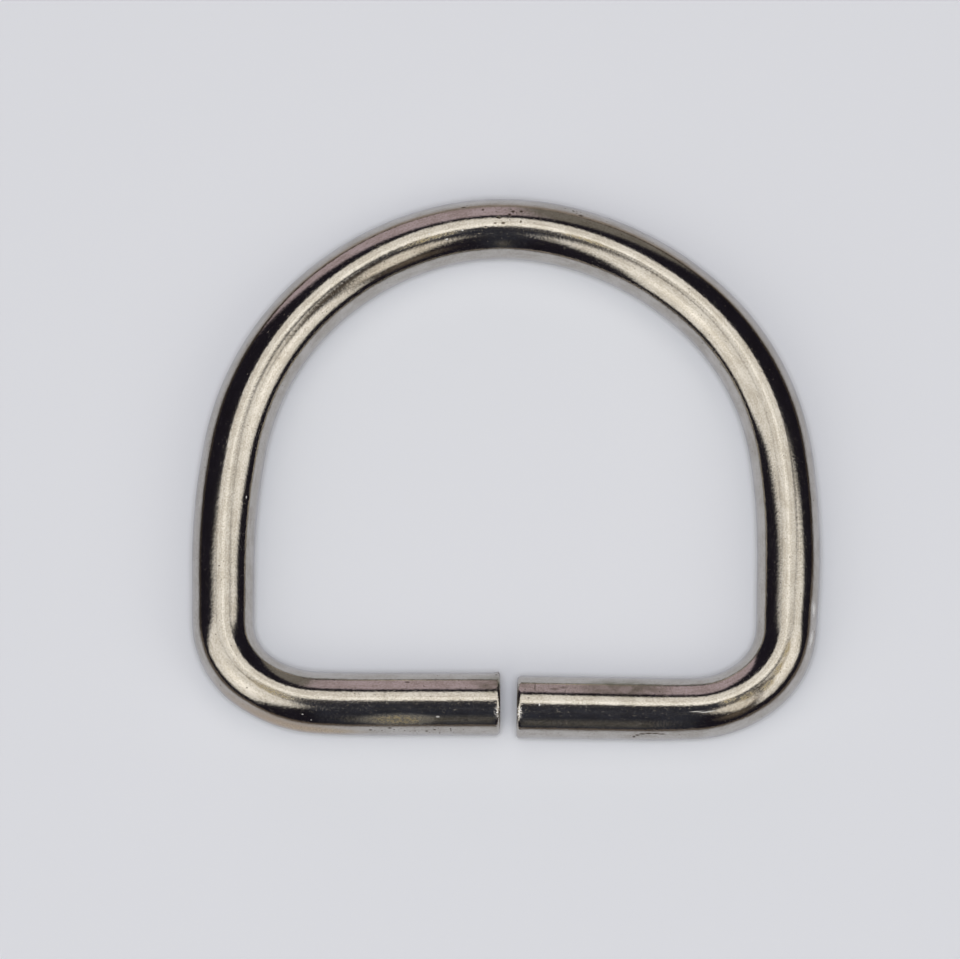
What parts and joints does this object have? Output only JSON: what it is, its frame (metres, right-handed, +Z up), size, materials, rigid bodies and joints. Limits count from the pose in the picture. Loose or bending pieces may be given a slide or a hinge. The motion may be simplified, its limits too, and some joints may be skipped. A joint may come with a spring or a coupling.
{
  "type": "d ring",
  "caption": "D-shaped ring bent from round wire with open ends: a straight bar that holds a strap, and a bow for a hook or clip.",
  "frame": {"origin": "on the surface that the ring lies on, under the middle of its outline", "axes": "+X along the straight bar, across the ring; +Y from the bar to the crown of the bow; +Z up, square to the ring's plane"},
  "size_m": [0.0396, 0.0342, 0.004],
  "materials": {
    "nickel_plate": "bright nickel plate on steel wire, warm in tone, lightly pitted, scuffed and tarnished"
  },
  "bodies": {
    "root": {"d_ring": "nickel_plate"}
  },
  "joints": []
}
